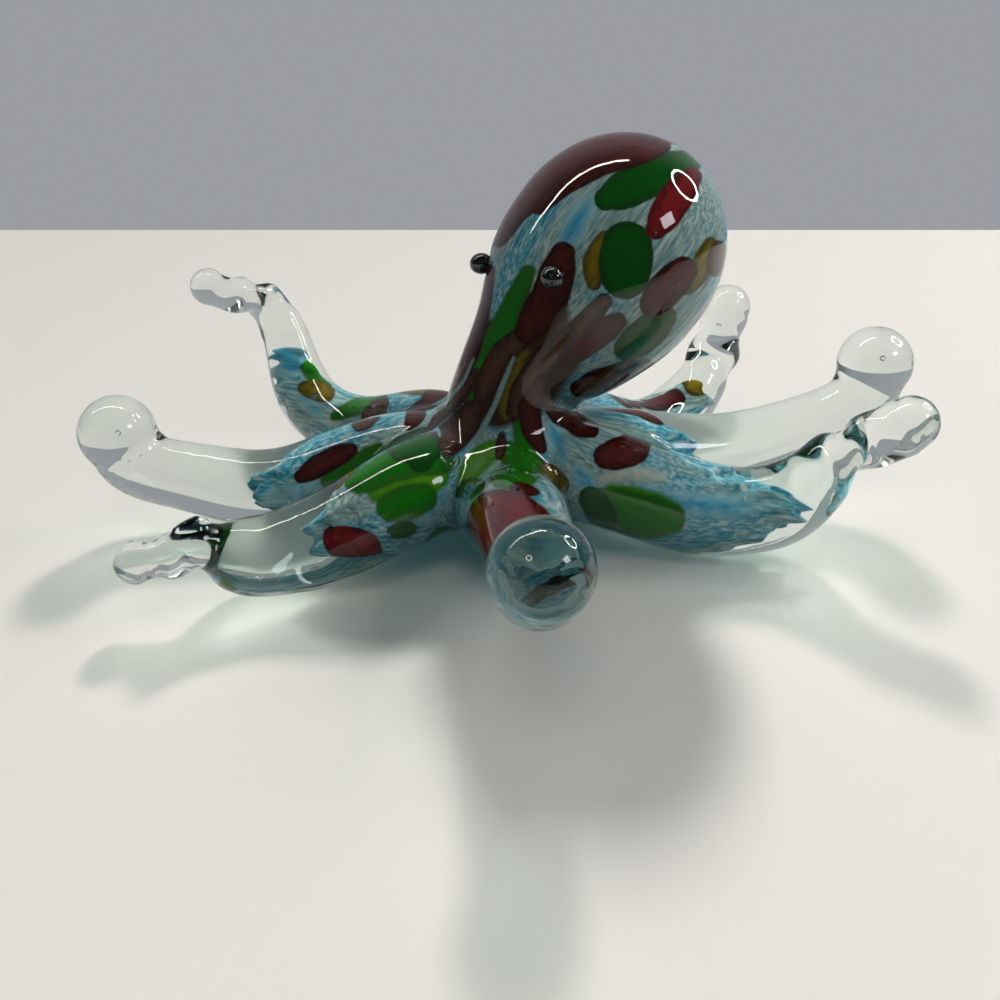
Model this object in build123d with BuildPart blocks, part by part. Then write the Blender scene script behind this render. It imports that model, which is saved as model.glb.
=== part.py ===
"""Octopus figurine in hot-worked glass: a coloured core cased in clear glass, eight arms and two eyes.

The origin is on the table, under the middle of the footprint. +Z is up, and the face looks towards -Y.
Left and right are as seen from in front of the face, so +X is to the right.
The glassworker gathers a coloured core, cases it in clear glass, pulls the head and draws the arms out of
the hub one by one. So the pieces are the clear casing and the colour of the mantle, and the clear glass
and the colour of each arm, which meet on flat seams round the hub, a curl on one wrist, and two black
beads for eyes.
"""

import os
from math import cos, radians, sin

from build123d import *

# Mantle: the hub that the arms leave, the neck and the head that leans back over them
HUB_RADIUS = 26.0
HUB_BASE_HEIGHT = 7.0
NECK_RADIUS = 16.5
NECK_HEIGHT = 43.5
NECK_SET_BACK = 2.4
HEAD_RADIUS = 32.0
HEAD_LENGTH = 84.5
HEAD_LEAN = 46.0

# Clear glass over the colour
CASING_WALL = 2.2

# Eyes: beads of black glass, melted a little way into the casing
EYE_RADIUS = 3.3
EYE_SEAT_DEPTH = 1.5
EYE_SPREAD = 72.0

# Arms: sizes that all eight follow
ARM_REACH = 112.0
ARM_RISE = 45.0
ARM_ROOT_RADIUS = 14.0
ARM_ROOT_HEIGHT = 20.5
ARM_MIDDLE_RADIUS = 12.0
ARM_END_RADIUS = 8.6
BALL_RADIUS = 11.4
BALL_NECK_RADIUS = 9.6
WRIST_RADIUS = 5.4
KNOB_RADIUS = 6.8
KNOB_LENGTH = 17.0
COLOUR_TIP_RADIUS = 3.4

# Curl of glass that hooks up over the wrist of the front arm: a rope of glass bent round, turned in degrees
CURL_RADIUS = 4.2
CURL_ROPE_RADIUS = 2.4
CURL_RISE = 3.4
CURL_START = -75.0
CURL_TURN = 225.0

# Seams round the hub, and the flats where an arm settled on the table while it was soft
SEAM_CORNER_RADIUS = 37.0
REST_FLAT_DEPTH = 0.4

# Hub and neck below the head: height from the base to the neck, and swell between hub and neck radius
hub_height_shares = (0, 0.24, 0.52, 0.78)
hub_swell_shares = (0.55, 1, 0.86, 0.3)
hub_set_back_shares = (0, 0, 0.05, 0.4)
neck_lean_share = 0.5

# Head: distance along its leaning axis, and swell from neck radius to head radius
head_length_shares = (0.14, 0.3, 0.45, 0.54, 0.58)
head_swell_shares = (0.3, 0.72, 0.955, 0.995, 1)
equator_share = head_length_shares[-1]
eye_length_shares = {"left_eye": 0.27, "right_eye": 0.3}

# Arms: bearing of the root and turn towards the tip in degrees, anticlockwise seen from above
arm_bearings = {
    "front_arm": (279, -8),
    "front_right_arm": (329, 2),
    "right_arm": (32, 10),
    "back_right_arm": (66, 2),
    "back_arm": (104, -3),
    "back_left_arm": (144, 1),
    "left_arm": (195, 4),
    "front_left_arm": (237, 0),
}

# Arms: reach and rise of the tip, reach of the low point, lift of its underside, thickness, and where along
# the arm its colour ends
arm_shares = {
    "front_arm": (0.83, 0.39, 0.6, 0, 1, 0.48),
    "front_right_arm": (0.94, 0.89, 0.56, 0.42, 1, 0.75),
    "right_arm": (0.87, 0.76, 0.55, 0, 1.12, 0.62),
    "back_right_arm": (1.035, 0.97, 0.6, 0.15, 1, 0.34),
    "back_arm": (0.92, 0.71, 0.57, 0, 1, 0.69),
    "back_left_arm": (0.965, 0.56, 0.58, 0, 1, 0.5),
    "left_arm": (0.93, 1.16, 0.52, 0.11, 0.96, 0.68),
    "front_left_arm": (1.013, 0.65, 0.62, 0, 1, 0.53),
}

# Arms that end in a drawn wrist and a knob: way of the knob outwards, sideways and upwards, its thickness and
# the thickness of the wrist
knob_shares = {
    "front_arm": (0.9, -0.35, -0.1, 0.84, 1),
    "right_arm": (0.84, 0.1, 0.5, 1.1, 1.3),
    "back_arm": (0.35, 0, 0.9, 1.15, 1.4),
    "left_arm": (0.6, 0.75, 0.35, 0.9, 1.12),
}

# Along an arm: where it starts inside the hub, and how it climbs between the low point and the tip
start_share = 0.135
root_share = 0.305
bend_at_low_share = 0.8
climb_reach_share = 0.6
climb_rise_share = 0.24
end_reach_share = 0.965
end_rise_share = 0.64
knob_start_share = 0.42
knob_end_share = 0.9

# Colour of an arm: how its tongue thins towards its end
colour_swell_shares = (1, 1, 0.97, 0.88, 0.7, 0.42, 0)

# Sections of a drawn form: round slices, evenly spaced along it
ARM_SECTIONS = 15

names = list(arm_bearings)


def outwards(bearing, reach, side=0.0):
    """A level vector out from the hub axis along a bearing, and sideways from it."""
    angle = radians(bearing)
    return Vector(reach * cos(angle) - side * sin(angle), reach * sin(angle) + side * cos(angle), 0)


def arm_stations(name):
    """Middle points and radii of the round sections of an arm, from inside the hub to its end."""
    bearing, bend = arm_bearings[name]
    reach_share, rise_share, low_share, lift_share, thickness_share, _ = arm_shares[name]
    reach = ARM_REACH * reach_share
    rise = ARM_RISE * rise_share
    low_reach = ARM_REACH * low_share
    middle_radius = ARM_MIDDLE_RADIUS * thickness_share
    end_radius = ARM_END_RADIUS * thickness_share
    low_height = ARM_RISE * lift_share + middle_radius - REST_FLAT_DEPTH
    climb_reach = low_reach + (reach - low_reach) * climb_reach_share
    climb_height = low_height + (rise - low_height) * climb_rise_share
    up = Vector(0, 0, 1)
    stations = [
        (outwards(bearing, ARM_REACH * start_share) + up * ARM_ROOT_HEIGHT, ARM_ROOT_RADIUS),
        (outwards(bearing, ARM_REACH * root_share) + up * ARM_ROOT_HEIGHT, ARM_ROOT_RADIUS),
        (outwards(bearing + bend * bend_at_low_share, low_reach) + up * low_height, middle_radius),
        (outwards(bearing + bend, climb_reach) + up * climb_height, (middle_radius + end_radius) / 2),
    ]
    tip = outwards(bearing + bend, reach) + up * rise
    if name in knob_shares:
        out_share, side_share, up_share, knob_thickness_share, wrist_thickness_share = knob_shares[name]
        way = outwards(bearing + bend, out_share, side_share) + up * up_share
        knob_radius = KNOB_RADIUS * knob_thickness_share
        stations.append((tip, WRIST_RADIUS * wrist_thickness_share))
        stations.append((tip + way * (KNOB_LENGTH * knob_start_share), knob_radius))
        stations.append((tip + way * KNOB_LENGTH, knob_radius * knob_end_share))
    else:
        end_reach = low_reach + (reach - low_reach) * end_reach_share
        end_height = low_height + (rise - low_height) * end_rise_share
        stations.append((outwards(bearing + bend, end_reach) + up * end_height, BALL_NECK_RADIUS))
        stations.append((tip, BALL_NECK_RADIUS))
    return stations


def tip_ball(name):
    """Middle and radius of the round end of an arm."""
    middle = arm_stations(name)[-1][0]
    if name in knob_shares:
        return middle, KNOB_RADIUS * knob_shares[name][3]
    return middle, BALL_RADIUS


def middle_of_footprint():
    """The middle of the box round the eight tips, seen from above."""
    balls = [tip_ball(name) for name in names]
    low_x = min(middle.X - radius for middle, radius in balls)
    high_x = max(middle.X + radius for middle, radius in balls)
    low_y = min(middle.Y - radius for middle, radius in balls)
    high_y = max(middle.Y + radius for middle, radius in balls)
    return Vector(low_x + high_x, low_y + high_y, 0) / 2


hub_axis = Vector(0, 0, 0) - middle_of_footprint()
head_axis = Vector(0, sin(radians(HEAD_LEAN)), cos(radians(HEAD_LEAN)))
head_back = Vector(0, cos(radians(HEAD_LEAN)), -sin(radians(HEAD_LEAN)))
neck = hub_axis + Vector(0, NECK_SET_BACK, NECK_HEIGHT)
equator = neck + head_axis * (HEAD_LENGTH * equator_share)
crown_height = HEAD_LENGTH * (1 - equator_share)
overall_height = NECK_HEIGHT + HEAD_LENGTH + HEAD_RADIUS
beyond_reach = ARM_REACH + ARM_RISE + KNOB_LENGTH


def even_sections(stations, length_share, count, sideways):
    """Planes square to a smooth line through the stations, evenly spaced, and the form's radius at each."""
    points = [hub_axis + point for point, _ in stations]
    radii = [radius for _, radius in stations]
    with BuildLine() as line:
        Spline(*points)
    spine = line.edges()[0]
    places = [spine.param_at_point(point) for point in points]
    sections = []
    for step in range(count):
        place = length_share * step / (count - 1)
        before = max(index for index in range(len(places) - 1) if places[index] <= place)
        along = (place - places[before]) / (places[before + 1] - places[before])
        radius = radii[before] + (radii[before + 1] - radii[before]) * along
        sections.append((Plane(spine @ place, x_dir=sideways, z_dir=spine % place), radius))
    return sections


def arm_form(name):
    """The whole outside of an arm, from inside the hub to its round end."""
    sideways = outwards(arm_bearings[name][0], 0, 1)
    end, end_radius = tip_ball(name)
    with BuildPart() as form:
        for plane, radius in even_sections(arm_stations(name), 1, ARM_SECTIONS, sideways):
            with BuildSketch(plane):
                Circle(radius)
        loft()
        with Locations(hub_axis + end):
            Sphere(end_radius)
    return form.part


def colour_form(name):
    """The tongue of colour inside an arm, one casing wall under its surface."""
    sideways = outwards(arm_bearings[name][0], 0, 1)
    sections = even_sections(arm_stations(name), arm_shares[name][-1], len(colour_swell_shares), sideways)
    with BuildPart() as form:
        for (plane, radius), swell_share in zip(sections, colour_swell_shares):
            with BuildSketch(plane):
                Circle(COLOUR_TIP_RADIUS + (radius - CASING_WALL - COLOUR_TIP_RADIUS) * swell_share)
        loft()
        with Locations(sections[-1][0].origin):
            Sphere(COLOUR_TIP_RADIUS)
    return form.part


def curl_form():
    """The hook of glass over the front arm's wrist, which turns up from the hub side and over outwards."""
    bearing, bend = arm_bearings["front_arm"]
    out = outwards(bearing + bend, 1)
    sideways = outwards(bearing + bend, 0, 1)
    up = Vector(0, 0, 1)
    wrist = hub_axis + arm_stations("front_arm")[-3][0]
    middle = wrist + out * CURL_ROPE_RADIUS + up * CURL_RISE
    root_way, tip_way = [
        up * sin(radians(turn)) - out * cos(radians(turn)) for turn in (CURL_START, CURL_START + CURL_TURN)
    ]
    with BuildPart() as form:
        with BuildSketch(Plane(middle + root_way * CURL_RADIUS, x_dir=root_way, z_dir=sideways.cross(root_way))):
            Circle(CURL_ROPE_RADIUS)
        revolve(axis=Axis(middle, sideways), revolution_arc=CURL_TURN)
        with Locations(middle + tip_way * CURL_RADIUS):
            Sphere(CURL_ROPE_RADIUS)
    return form.part


def head_radius(length_share):
    """Radius of the head at a share of its length below the equator, between the two sections next to it."""
    after = min(index for index, share in enumerate(head_length_shares) if share >= length_share)
    step_share = head_length_shares[after] - head_length_shares[after - 1]
    along = (length_share - head_length_shares[after - 1]) / step_share
    swell = head_swell_shares[after - 1] + (head_swell_shares[after] - head_swell_shares[after - 1]) * along
    return NECK_RADIUS + (HEAD_RADIUS - NECK_RADIUS) * swell


def mantle_form(wall):
    """The hub, neck and head in one sweep of round sections, drawn in by a wall, with a domed crown."""
    sections = []
    base = HUB_BASE_HEIGHT + wall
    for height_share, swell_share, set_back_share in zip(
        hub_height_shares, hub_swell_shares, hub_set_back_shares
    ):
        height = base + (NECK_HEIGHT - base) * height_share
        middle = hub_axis + Vector(0, NECK_SET_BACK * set_back_share, height)
        radius = NECK_RADIUS + (HUB_RADIUS - NECK_RADIUS) * swell_share - wall
        sections.append((Plane(middle, x_dir=(1, 0, 0), z_dir=(0, 0, 1)), radius))
    neck_lean = radians(HEAD_LEAN * neck_lean_share)
    neck_way = (0, sin(neck_lean), cos(neck_lean))
    sections.append((Plane(neck, x_dir=(1, 0, 0), z_dir=neck_way), NECK_RADIUS - wall))
    for length_share, swell_share in zip(head_length_shares, head_swell_shares):
        middle = neck + head_axis * (HEAD_LENGTH * length_share)
        radius = NECK_RADIUS + (HEAD_RADIUS - NECK_RADIUS) * swell_share - wall
        sections.append((Plane(middle, x_dir=(1, 0, 0), z_dir=head_axis), radius))
    with BuildPart() as form:
        for plane, radius in sections:
            with BuildSketch(plane):
                Circle(radius)
        loft()
        with BuildSketch(Plane(equator, x_dir=head_back, z_dir=(1, 0, 0))):
            with BuildLine():
                EllipticalCenterArc((0, 0), HEAD_RADIUS - wall, crown_height - wall, arc_size=90)
                Line((0, crown_height - wall), (0, 0))
                Line((0, 0), (HEAD_RADIUS - wall, 0))
            make_face()
        revolve(axis=Axis(equator, head_axis))
    return form.part


def wedge(corners):
    """An upright block on the table, with the given corners seen from above."""
    with BuildPart() as block:
        with BuildSketch():
            with BuildLine():
                Polyline(*[(corner.X, corner.Y) for corner in corners], close=True)
            make_face()
        extrude(amount=overall_height)
    return block.part


def seam_bearings(name):
    """Bearings of the two seams that part an arm from its neighbours."""
    place = names.index(name)
    bearing = arm_bearings[name][0]
    before = arm_bearings[names[place - 1]][0]
    after = arm_bearings[names[(place + 1) % len(names)]][0]
    return bearing - (bearing - before) % 360 / 2, bearing + (after - bearing) % 360 / 2


# Forms of the arms, each parted from the hub on a flat seam
arm_glass = {}
arm_colour = {}
hub_glass = []
hub_colour = []
for name in names:
    right_seam, left_seam = seam_bearings(name)
    inner = [outwards(right_seam, SEAM_CORNER_RADIUS), outwards(left_seam, SEAM_CORNER_RADIUS)]
    outer = [outwards(left_seam, beyond_reach), outwards(right_seam, beyond_reach)]
    arm_block = wedge([hub_axis + corner for corner in inner + outer])
    hub_block = wedge([hub_axis] + [hub_axis + corner for corner in inner])
    form = arm_form(name)
    tongue = colour_form(name)
    with BuildPart() as hub_stub:
        add(form)
        add(hub_block, mode=Mode.INTERSECT)
    with BuildPart() as hub_tongue:
        add(tongue)
        add(hub_block, mode=Mode.INTERSECT)
    with BuildPart() as colour:
        add(tongue)
        add(arm_block, mode=Mode.INTERSECT)
    with BuildPart() as glass:
        add(form)
        add(arm_block, mode=Mode.INTERSECT)
        add(colour.part, mode=Mode.SUBTRACT)
    hub_glass.append(hub_stub.part)
    hub_colour.append(hub_tongue.part)
    arm_colour[name] = colour
    arm_glass[name] = glass

# Curl: a hook of clear glass that stands on the front arm's wrist
hook = curl_form()
wrist_form = arm_form("front_arm")
with BuildPart() as curl:
    add(hook)
    add(wrist_form, mode=Mode.SUBTRACT)

# Eyes: two beads on the casing, spread to either side of the face
eyes = {}
for name, side in (("left_eye", -1), ("right_eye", 1)):
    turn = radians(EYE_SPREAD / 2)
    way = Vector(side * sin(turn), 0, 0) - head_back * cos(turn)
    eye_ring = neck + head_axis * (HEAD_LENGTH * eye_length_shares[name])
    eye_out = head_radius(eye_length_shares[name]) + EYE_RADIUS - EYE_SEAT_DEPTH
    with BuildPart() as eye:
        with Locations(eye_ring + way * eye_out):
            Sphere(EYE_RADIUS)
    eyes[name] = eye

# Mantle: the colour of hub, neck and head, and the clear casing round it
casing_form = mantle_form(0)
core_form = mantle_form(CASING_WALL)

with BuildPart() as mantle_colour:
    add(core_form)
    add(hub_colour)

with BuildPart() as mantle_casing:
    add(casing_form)
    add(hub_glass)
    add(mantle_colour.part, mode=Mode.SUBTRACT)
    for eye in eyes.values():
        add(eye.part, mode=Mode.SUBTRACT)

# Each finished piece under its own name
pieces = {"mantle_casing": mantle_casing, "mantle_colour": mantle_colour, "front_arm_curl": curl, **eyes}
for name in names:
    pieces[f"{name}_glass"] = arm_glass[name]
    pieces[f"{name}_colour"] = arm_colour[name]

os.makedirs("parts", exist_ok=True)
for name, piece in pieces.items():
    piece.part.label = name
    export_step(piece.part, f"parts/{name}.step")
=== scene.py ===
# %% [markdown]
# # A hot-worked glass octopus
# The real ornament was gathered and pulled at a furnace: streaks and chips of coloured glass lie in
# a core, and a coat of clear glass was pulled out round it into eight arms. We load the CAD pieces,
# which give every place and size, and dress them as one seamless lump of glass.

# %% Load the frame
import math
import random

import bmesh
import bpy
import numpy as np
from mathutils import Matrix, Vector
from mathutils.bvhtree import BVHTree


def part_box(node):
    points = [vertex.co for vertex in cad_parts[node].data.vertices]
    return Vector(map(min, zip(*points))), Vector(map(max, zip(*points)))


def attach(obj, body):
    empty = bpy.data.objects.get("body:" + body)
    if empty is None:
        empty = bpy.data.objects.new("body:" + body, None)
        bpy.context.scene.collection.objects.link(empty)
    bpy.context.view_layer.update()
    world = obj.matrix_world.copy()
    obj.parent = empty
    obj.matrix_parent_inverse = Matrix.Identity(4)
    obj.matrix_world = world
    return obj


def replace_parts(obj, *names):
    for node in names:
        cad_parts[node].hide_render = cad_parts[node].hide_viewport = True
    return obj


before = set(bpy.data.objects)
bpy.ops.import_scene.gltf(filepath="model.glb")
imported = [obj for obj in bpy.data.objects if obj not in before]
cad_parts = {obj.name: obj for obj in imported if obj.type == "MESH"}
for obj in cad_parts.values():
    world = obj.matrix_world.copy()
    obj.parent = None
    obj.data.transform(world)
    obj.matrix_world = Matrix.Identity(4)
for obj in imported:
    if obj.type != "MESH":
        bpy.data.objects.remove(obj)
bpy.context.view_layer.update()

MM = 0.001

# %% [markdown]
# ## The photograph's view
# The picture was taken from low over the table. A camera is a place, a turn, a tilt and a lens, and we
# set all four. The same values turn a pixel back into a ray, and later we use such rays to lay
# the chips of colour where the picture shows them.

# %% Camera
PHOTO_SIDE = 1000
PHOTO_FOCAL = 1100
PHOTO_TURN = math.radians(57)
PHOTO_TILT = math.radians(24.6)
HUB_AXIS = Vector((3.309, -2.410, 0))  # the middle of the hub in the frame, in mm
EYE_PLACE = (-1.1, -302, 146)
SENSOR_WIDTH = 36

turn = Matrix.Rotation(PHOTO_TURN, 3, "Z")
tilt = Matrix.Rotation(math.pi / 2 - PHOTO_TILT, 3, "X")


def from_photo(right, away, up):
    """A place beside the hub as the photograph shows it, in mm, as a point of the frame in metres."""
    return (turn @ Vector((right, away, up)) + HUB_AXIS) * MM


def pixel_ray(across, down):
    """The direction in which the camera sees a pixel of the photograph."""
    half = PHOTO_SIDE / 2
    seen = Vector(((across - half) / PHOTO_FOCAL, (half - down) / PHOTO_FOCAL, -1))
    return (turn @ tilt @ seen).normalized()


eye_place = from_photo(*EYE_PLACE)
camera = bpy.data.objects.new("camera", bpy.data.cameras.new("camera"))
camera.data.sensor_width = SENSOR_WIDTH
camera.data.lens = SENSOR_WIDTH * PHOTO_FOCAL / PHOTO_SIDE
camera.data.clip_start = MM
camera.location = eye_place
camera.rotation_euler = (turn @ tilt).to_euler()
bpy.context.scene.collection.objects.link(camera)
bpy.context.scene.camera = camera
print("camera at", [round(c / MM) for c in eye_place], "mm, lens", round(camera.data.lens, 1))

# %% [markdown]
# ## One skin from many solids
# On the real piece the clear arms run into the clear head with no seam, because all of it was soft
# at once. The CAD solids meet on flat seams, so we copy them into one mesh and remesh it in small
# voxels, which keeps the outside alone. A few rounds of smoothing that swell as much as they shrink
# take out the voxel steps, and the hollows between the arms are smoothed more, as soft glass fills them.

# %% Copy, remesh and smooth
casing_nodes = sorted(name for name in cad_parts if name.endswith(("_casing", "_glass", "_curl")))
colour_nodes = sorted(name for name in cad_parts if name.endswith("_colour"))
print(len(casing_nodes), "clear solids and", len(colour_nodes), "coloured ones")


def new_piece(name, mesh):
    """A mesh as an object of the scene."""
    piece = bpy.data.objects.new(name, mesh)
    bpy.context.scene.collection.objects.link(piece)
    return piece


def melted(name, nodes, voxel):
    """Copies CAD nodes into one mesh and keeps its outside, in voxels of a size in mm."""
    joined = bmesh.new()
    for node in nodes:
        joined.from_mesh(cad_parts[node].data)
    mesh = bpy.data.meshes.new(name)
    joined.to_mesh(mesh)
    joined.free()
    piece = new_piece(name, mesh)
    remesh = piece.modifiers.new("melt", "REMESH")
    remesh.mode = "VOXEL"
    remesh.voxel_size = voxel * MM
    depsgraph = bpy.context.evaluated_depsgraph_get()
    melted_mesh = bpy.data.meshes.new_from_object(piece.evaluated_get(depsgraph))
    piece.modifiers.clear()
    piece.data = melted_mesh
    bpy.data.meshes.remove(mesh)
    return piece


def places_of(mesh):
    """The corners of a mesh in mm, as an array."""
    flat = np.empty(len(mesh.vertices) * 3)
    mesh.vertices.foreach_get("co", flat)
    return flat.reshape(-1, 3) / MM


def normals_of(mesh):
    """The normals at the corners of a mesh, as an array."""
    flat = np.empty(len(mesh.vertices) * 3)
    mesh.vertices.foreach_get("normal", flat)
    return flat.reshape(-1, 3)


def put_places(mesh, places):
    """Moves the corners of a mesh to places in mm."""
    mesh.vertices.foreach_set("co", (places * MM).ravel())
    mesh.update()


class Smoother:
    """Pulls each corner of a mesh towards the middle of its neighbours."""

    def __init__(self, mesh):
        ends = np.empty(len(mesh.edges) * 2, np.int64)
        mesh.edges.foreach_get("vertices", ends)
        self.first, self.second = ends.reshape(-1, 2).T
        self.count = len(mesh.vertices)
        self.neighbours = self.summed(np.ones(len(self.first)), np.ones(len(self.first)))

    def summed(self, to_first, to_second):
        """What the edges bring to their first and second ends, added up at each corner."""
        return (np.bincount(self.first, to_first, self.count)
                + np.bincount(self.second, to_second, self.count))

    def pull(self, places):
        """From each corner to the middle of its neighbours."""
        middles = np.stack([
            self.summed(places[self.second, axis], places[self.first, axis]) for axis in range(3)
        ], axis=1)
        return middles / self.neighbours[:, None] - places

    def spread(self, values):
        """A value at each corner, shared with its neighbours."""
        near = self.summed(values[self.second], values[self.first]) / self.neighbours
        return (values + near) / 2


SHRINK, SWELL = 0.5, -0.52
VOXEL = 1.0
VOXEL_ROUNDS = 14
HOLLOW_ROUNDS = 160
HOLLOW_BEND = 0.02
HOLLOW_SPREAD = 12


def fire_polish(piece, rounds):
    """Takes the voxel steps out of a piece without thinning it."""
    smoother = Smoother(piece.data)
    places = places_of(piece.data)
    for _ in range(rounds):
        places = places + SHRINK * smoother.pull(places)
        places = places + SWELL * smoother.pull(places)
    put_places(piece.data, places)
    return smoother


def fill_hollows(piece, smoother):
    """Rounds the hollows where arms meet, as soft glass does."""
    places = places_of(piece.data)
    bend = np.einsum("ij,ij->i", smoother.pull(places), normals_of(piece.data))
    hollow = np.clip(bend / HOLLOW_BEND, 0, 1)
    for _ in range(HOLLOW_SPREAD):
        hollow = np.maximum(hollow, smoother.spread(hollow))
    for _ in range(HOLLOW_ROUNDS):
        places = places + SHRINK * hollow[:, None] * smoother.pull(places)
    put_places(piece.data, places)


skin = melted("clear_glass_skin", casing_nodes + colour_nodes, VOXEL)
fill_hollows(skin, fire_polish(skin, VOXEL_ROUNDS))
core = melted("colour_core", colour_nodes, VOXEL)
fire_polish(core, VOXEL_ROUNDS)
for piece in (skin, core):
    piece.data.shade_smooth()
    print(piece.name, len(piece.data.vertices), "corners")

# %% [markdown]
# ## Twisted wrists
# Four of the arms look as if they were nipped and turned while they were soft: their wrists are flattened
# and twisted like a sweet wrapper. Round each wrist the skin moves in and out with the angle about the
# wrist's own line, and the pattern turns along that line.

# %% Twist the wrists
ARM_REACH, ARM_RISE = 112, 45
# share of the reach, bearing, share of the rise, way of the knob outwards, sideways and upwards, twist in mm
wrists = {
    "front_arm": (0.83, 271, 0.39, (0.9, -0.35, -0.1), 1.1),
    "right_arm": (0.87, 42, 0.76, (0.84, 0.1, 0.5), 1.9),
    "back_arm": (0.92, 101, 0.71, (0.35, 0, 0.9), 1.5),
    "left_arm": (0.93, 199, 1.16, (0.6, 0.75, 0.35), 1.7),
}
TWIST_LENGTH = 7.5
TWIST_TURN = 0.36
TWIST_ROOM, TWIST_FADE = 13, 3
TWIST_REACH = 39
TWIST_LOBES = 2
JUST_MOVED = 0.05
LEAST_RADIUS = 0.1
places = places_of(skin.data)
for name, (reach_share, wrist_bearing, rise_share, way, depth) in wrists.items():
    spin = Matrix.Rotation(math.radians(wrist_bearing), 3, "Z")
    middle = np.array(spin @ Vector((reach_share * ARM_REACH, 0, rise_share * ARM_RISE)) + HUB_AXIS)
    knob_way = (spin @ Vector(way)).normalized()
    side_way = knob_way.orthogonal().normalized()
    third_way = knob_way.cross(side_way)
    away = places - middle
    along = away @ np.array(knob_way)
    sideways, third = away @ np.array(side_way), away @ np.array(third_way)
    radius = np.maximum(np.hypot(sideways, third), LEAST_RADIUS)
    here = np.exp(-(along / TWIST_LENGTH) ** 2) * (np.linalg.norm(away, axis=1) < TWIST_REACH)
    here *= np.clip((TWIST_ROOM - radius) / TWIST_FADE, 0, 1)
    lobes = np.cos(TWIST_LOBES * np.arctan2(third, sideways) + TWIST_TURN * along)
    out = (away - along[:, None] * np.array(knob_way)) / radius[:, None]
    places = places + (depth * here * lobes)[:, None] * out
    print(name, "twist moves", int((here > JUST_MOVED).sum()), "corners")
places[:, 2] = np.maximum(places[:, 2], 0)
put_places(skin.data, places)

# %% [markdown]
# ## Frayed ends of the colour
# Where an arm was pulled, the colour ran out into it in ragged fingers. Near the end of each tongue
# the core is pulled on or held back by waves across the arm.

# %% Fray the colour
FRAY_LENGTH, FRAY_DEPTH = 20, 4.0
FRAY_CURVE = 1.5
FRAY_REACH = 40
FINGER_WAVES = (0.95, 0.8)
places = places_of(core.data)
for number, name in enumerate(colour_nodes):
    if name.startswith("mantle"):
        continue
    tongue = places_of(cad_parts[name].data)
    level = (tongue - np.array(HUB_AXIS))[:, :2]
    tip = tongue[np.argmax(np.linalg.norm(level, axis=1))]
    tip_way = np.append((tip - np.array(HUB_AXIS))[:2], 0)
    tip_way /= np.linalg.norm(tip_way)
    offset = places - tip
    sideways = offset @ np.array([-tip_way[1], tip_way[0], 0])
    weight = np.clip(1 + offset @ tip_way / FRAY_LENGTH, 0, 1) ** FRAY_CURVE
    weight *= np.linalg.norm(offset, axis=1) < FRAY_REACH
    fingers = np.sin(FINGER_WAVES[0] * sideways + number)
    fingers = fingers * np.sin(FINGER_WAVES[1] * offset[:, 2] + 2 * number)
    places = places + (FRAY_DEPTH * weight * fingers)[:, None] * tip_way
put_places(core.data, places)
print("frayed", len(colour_nodes) - 1, "tongues")

# %% [markdown]
# ## The full arm
# The arm that comes towards us has colour nearly out to its skin, where its solid has a slim tongue. So the
# sides of that tongue swell until a thin cover of clear glass is left, and the ball at its end stays clear.

# %% Swell the colour of one arm
FULL_ARM_BEARING = math.radians(330)
FULL_ARM_SPREAD = math.radians(20)
FULL_ARM_START, FULL_ARM_FULL, FULL_ARM_END = 34, 46, 80
COLOUR_COVER, MOST_SWELL = 2.6, 7
cover_tree = BVHTree.FromObject(skin, bpy.context.evaluated_depsgraph_get())
places, normals = places_of(core.data), normals_of(core.data)
level = (places - np.array(HUB_AXIS))[:, :2]
level_reach = np.hypot(level[:, 0], level[:, 1])
turned = np.angle(np.exp(1j * (np.arctan2(level[:, 1], level[:, 0]) - FULL_ARM_BEARING)))
swell_share = np.clip((level_reach - FULL_ARM_START) / (FULL_ARM_FULL - FULL_ARM_START), 0, 1)
swell_share *= np.clip((FULL_ARM_END - level_reach) / (FULL_ARM_FULL - FULL_ARM_START), 0, 1)
swell_share *= np.abs(turned) < FULL_ARM_SPREAD
arm_way = np.array([math.cos(FULL_ARM_BEARING), math.sin(FULL_ARM_BEARING), 0])
swell_share *= 1 - np.clip(normals @ arm_way, 0, 1)
for corner in np.nonzero(swell_share)[0]:
    cover = cover_tree.find_nearest(Vector(places[corner]) * MM)[3] / MM
    swell = min(max(cover - COLOUR_COVER, 0), MOST_SWELL)
    places[corner] += swell_share[corner] * swell * normals[corner]
put_places(core.data, places)
print("swelled", int((swell_share > 0).sum()), "corners of the full arm")

# %% [markdown]
# ## Bubbles
# Air that is caught between two gathers stays as bubbles, round in the clear glass and flattened over
# the core. A bubble is a hole in the glass, so it is a small ball whose faces look inwards, and it
# belongs to the same mesh as the skin.

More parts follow.
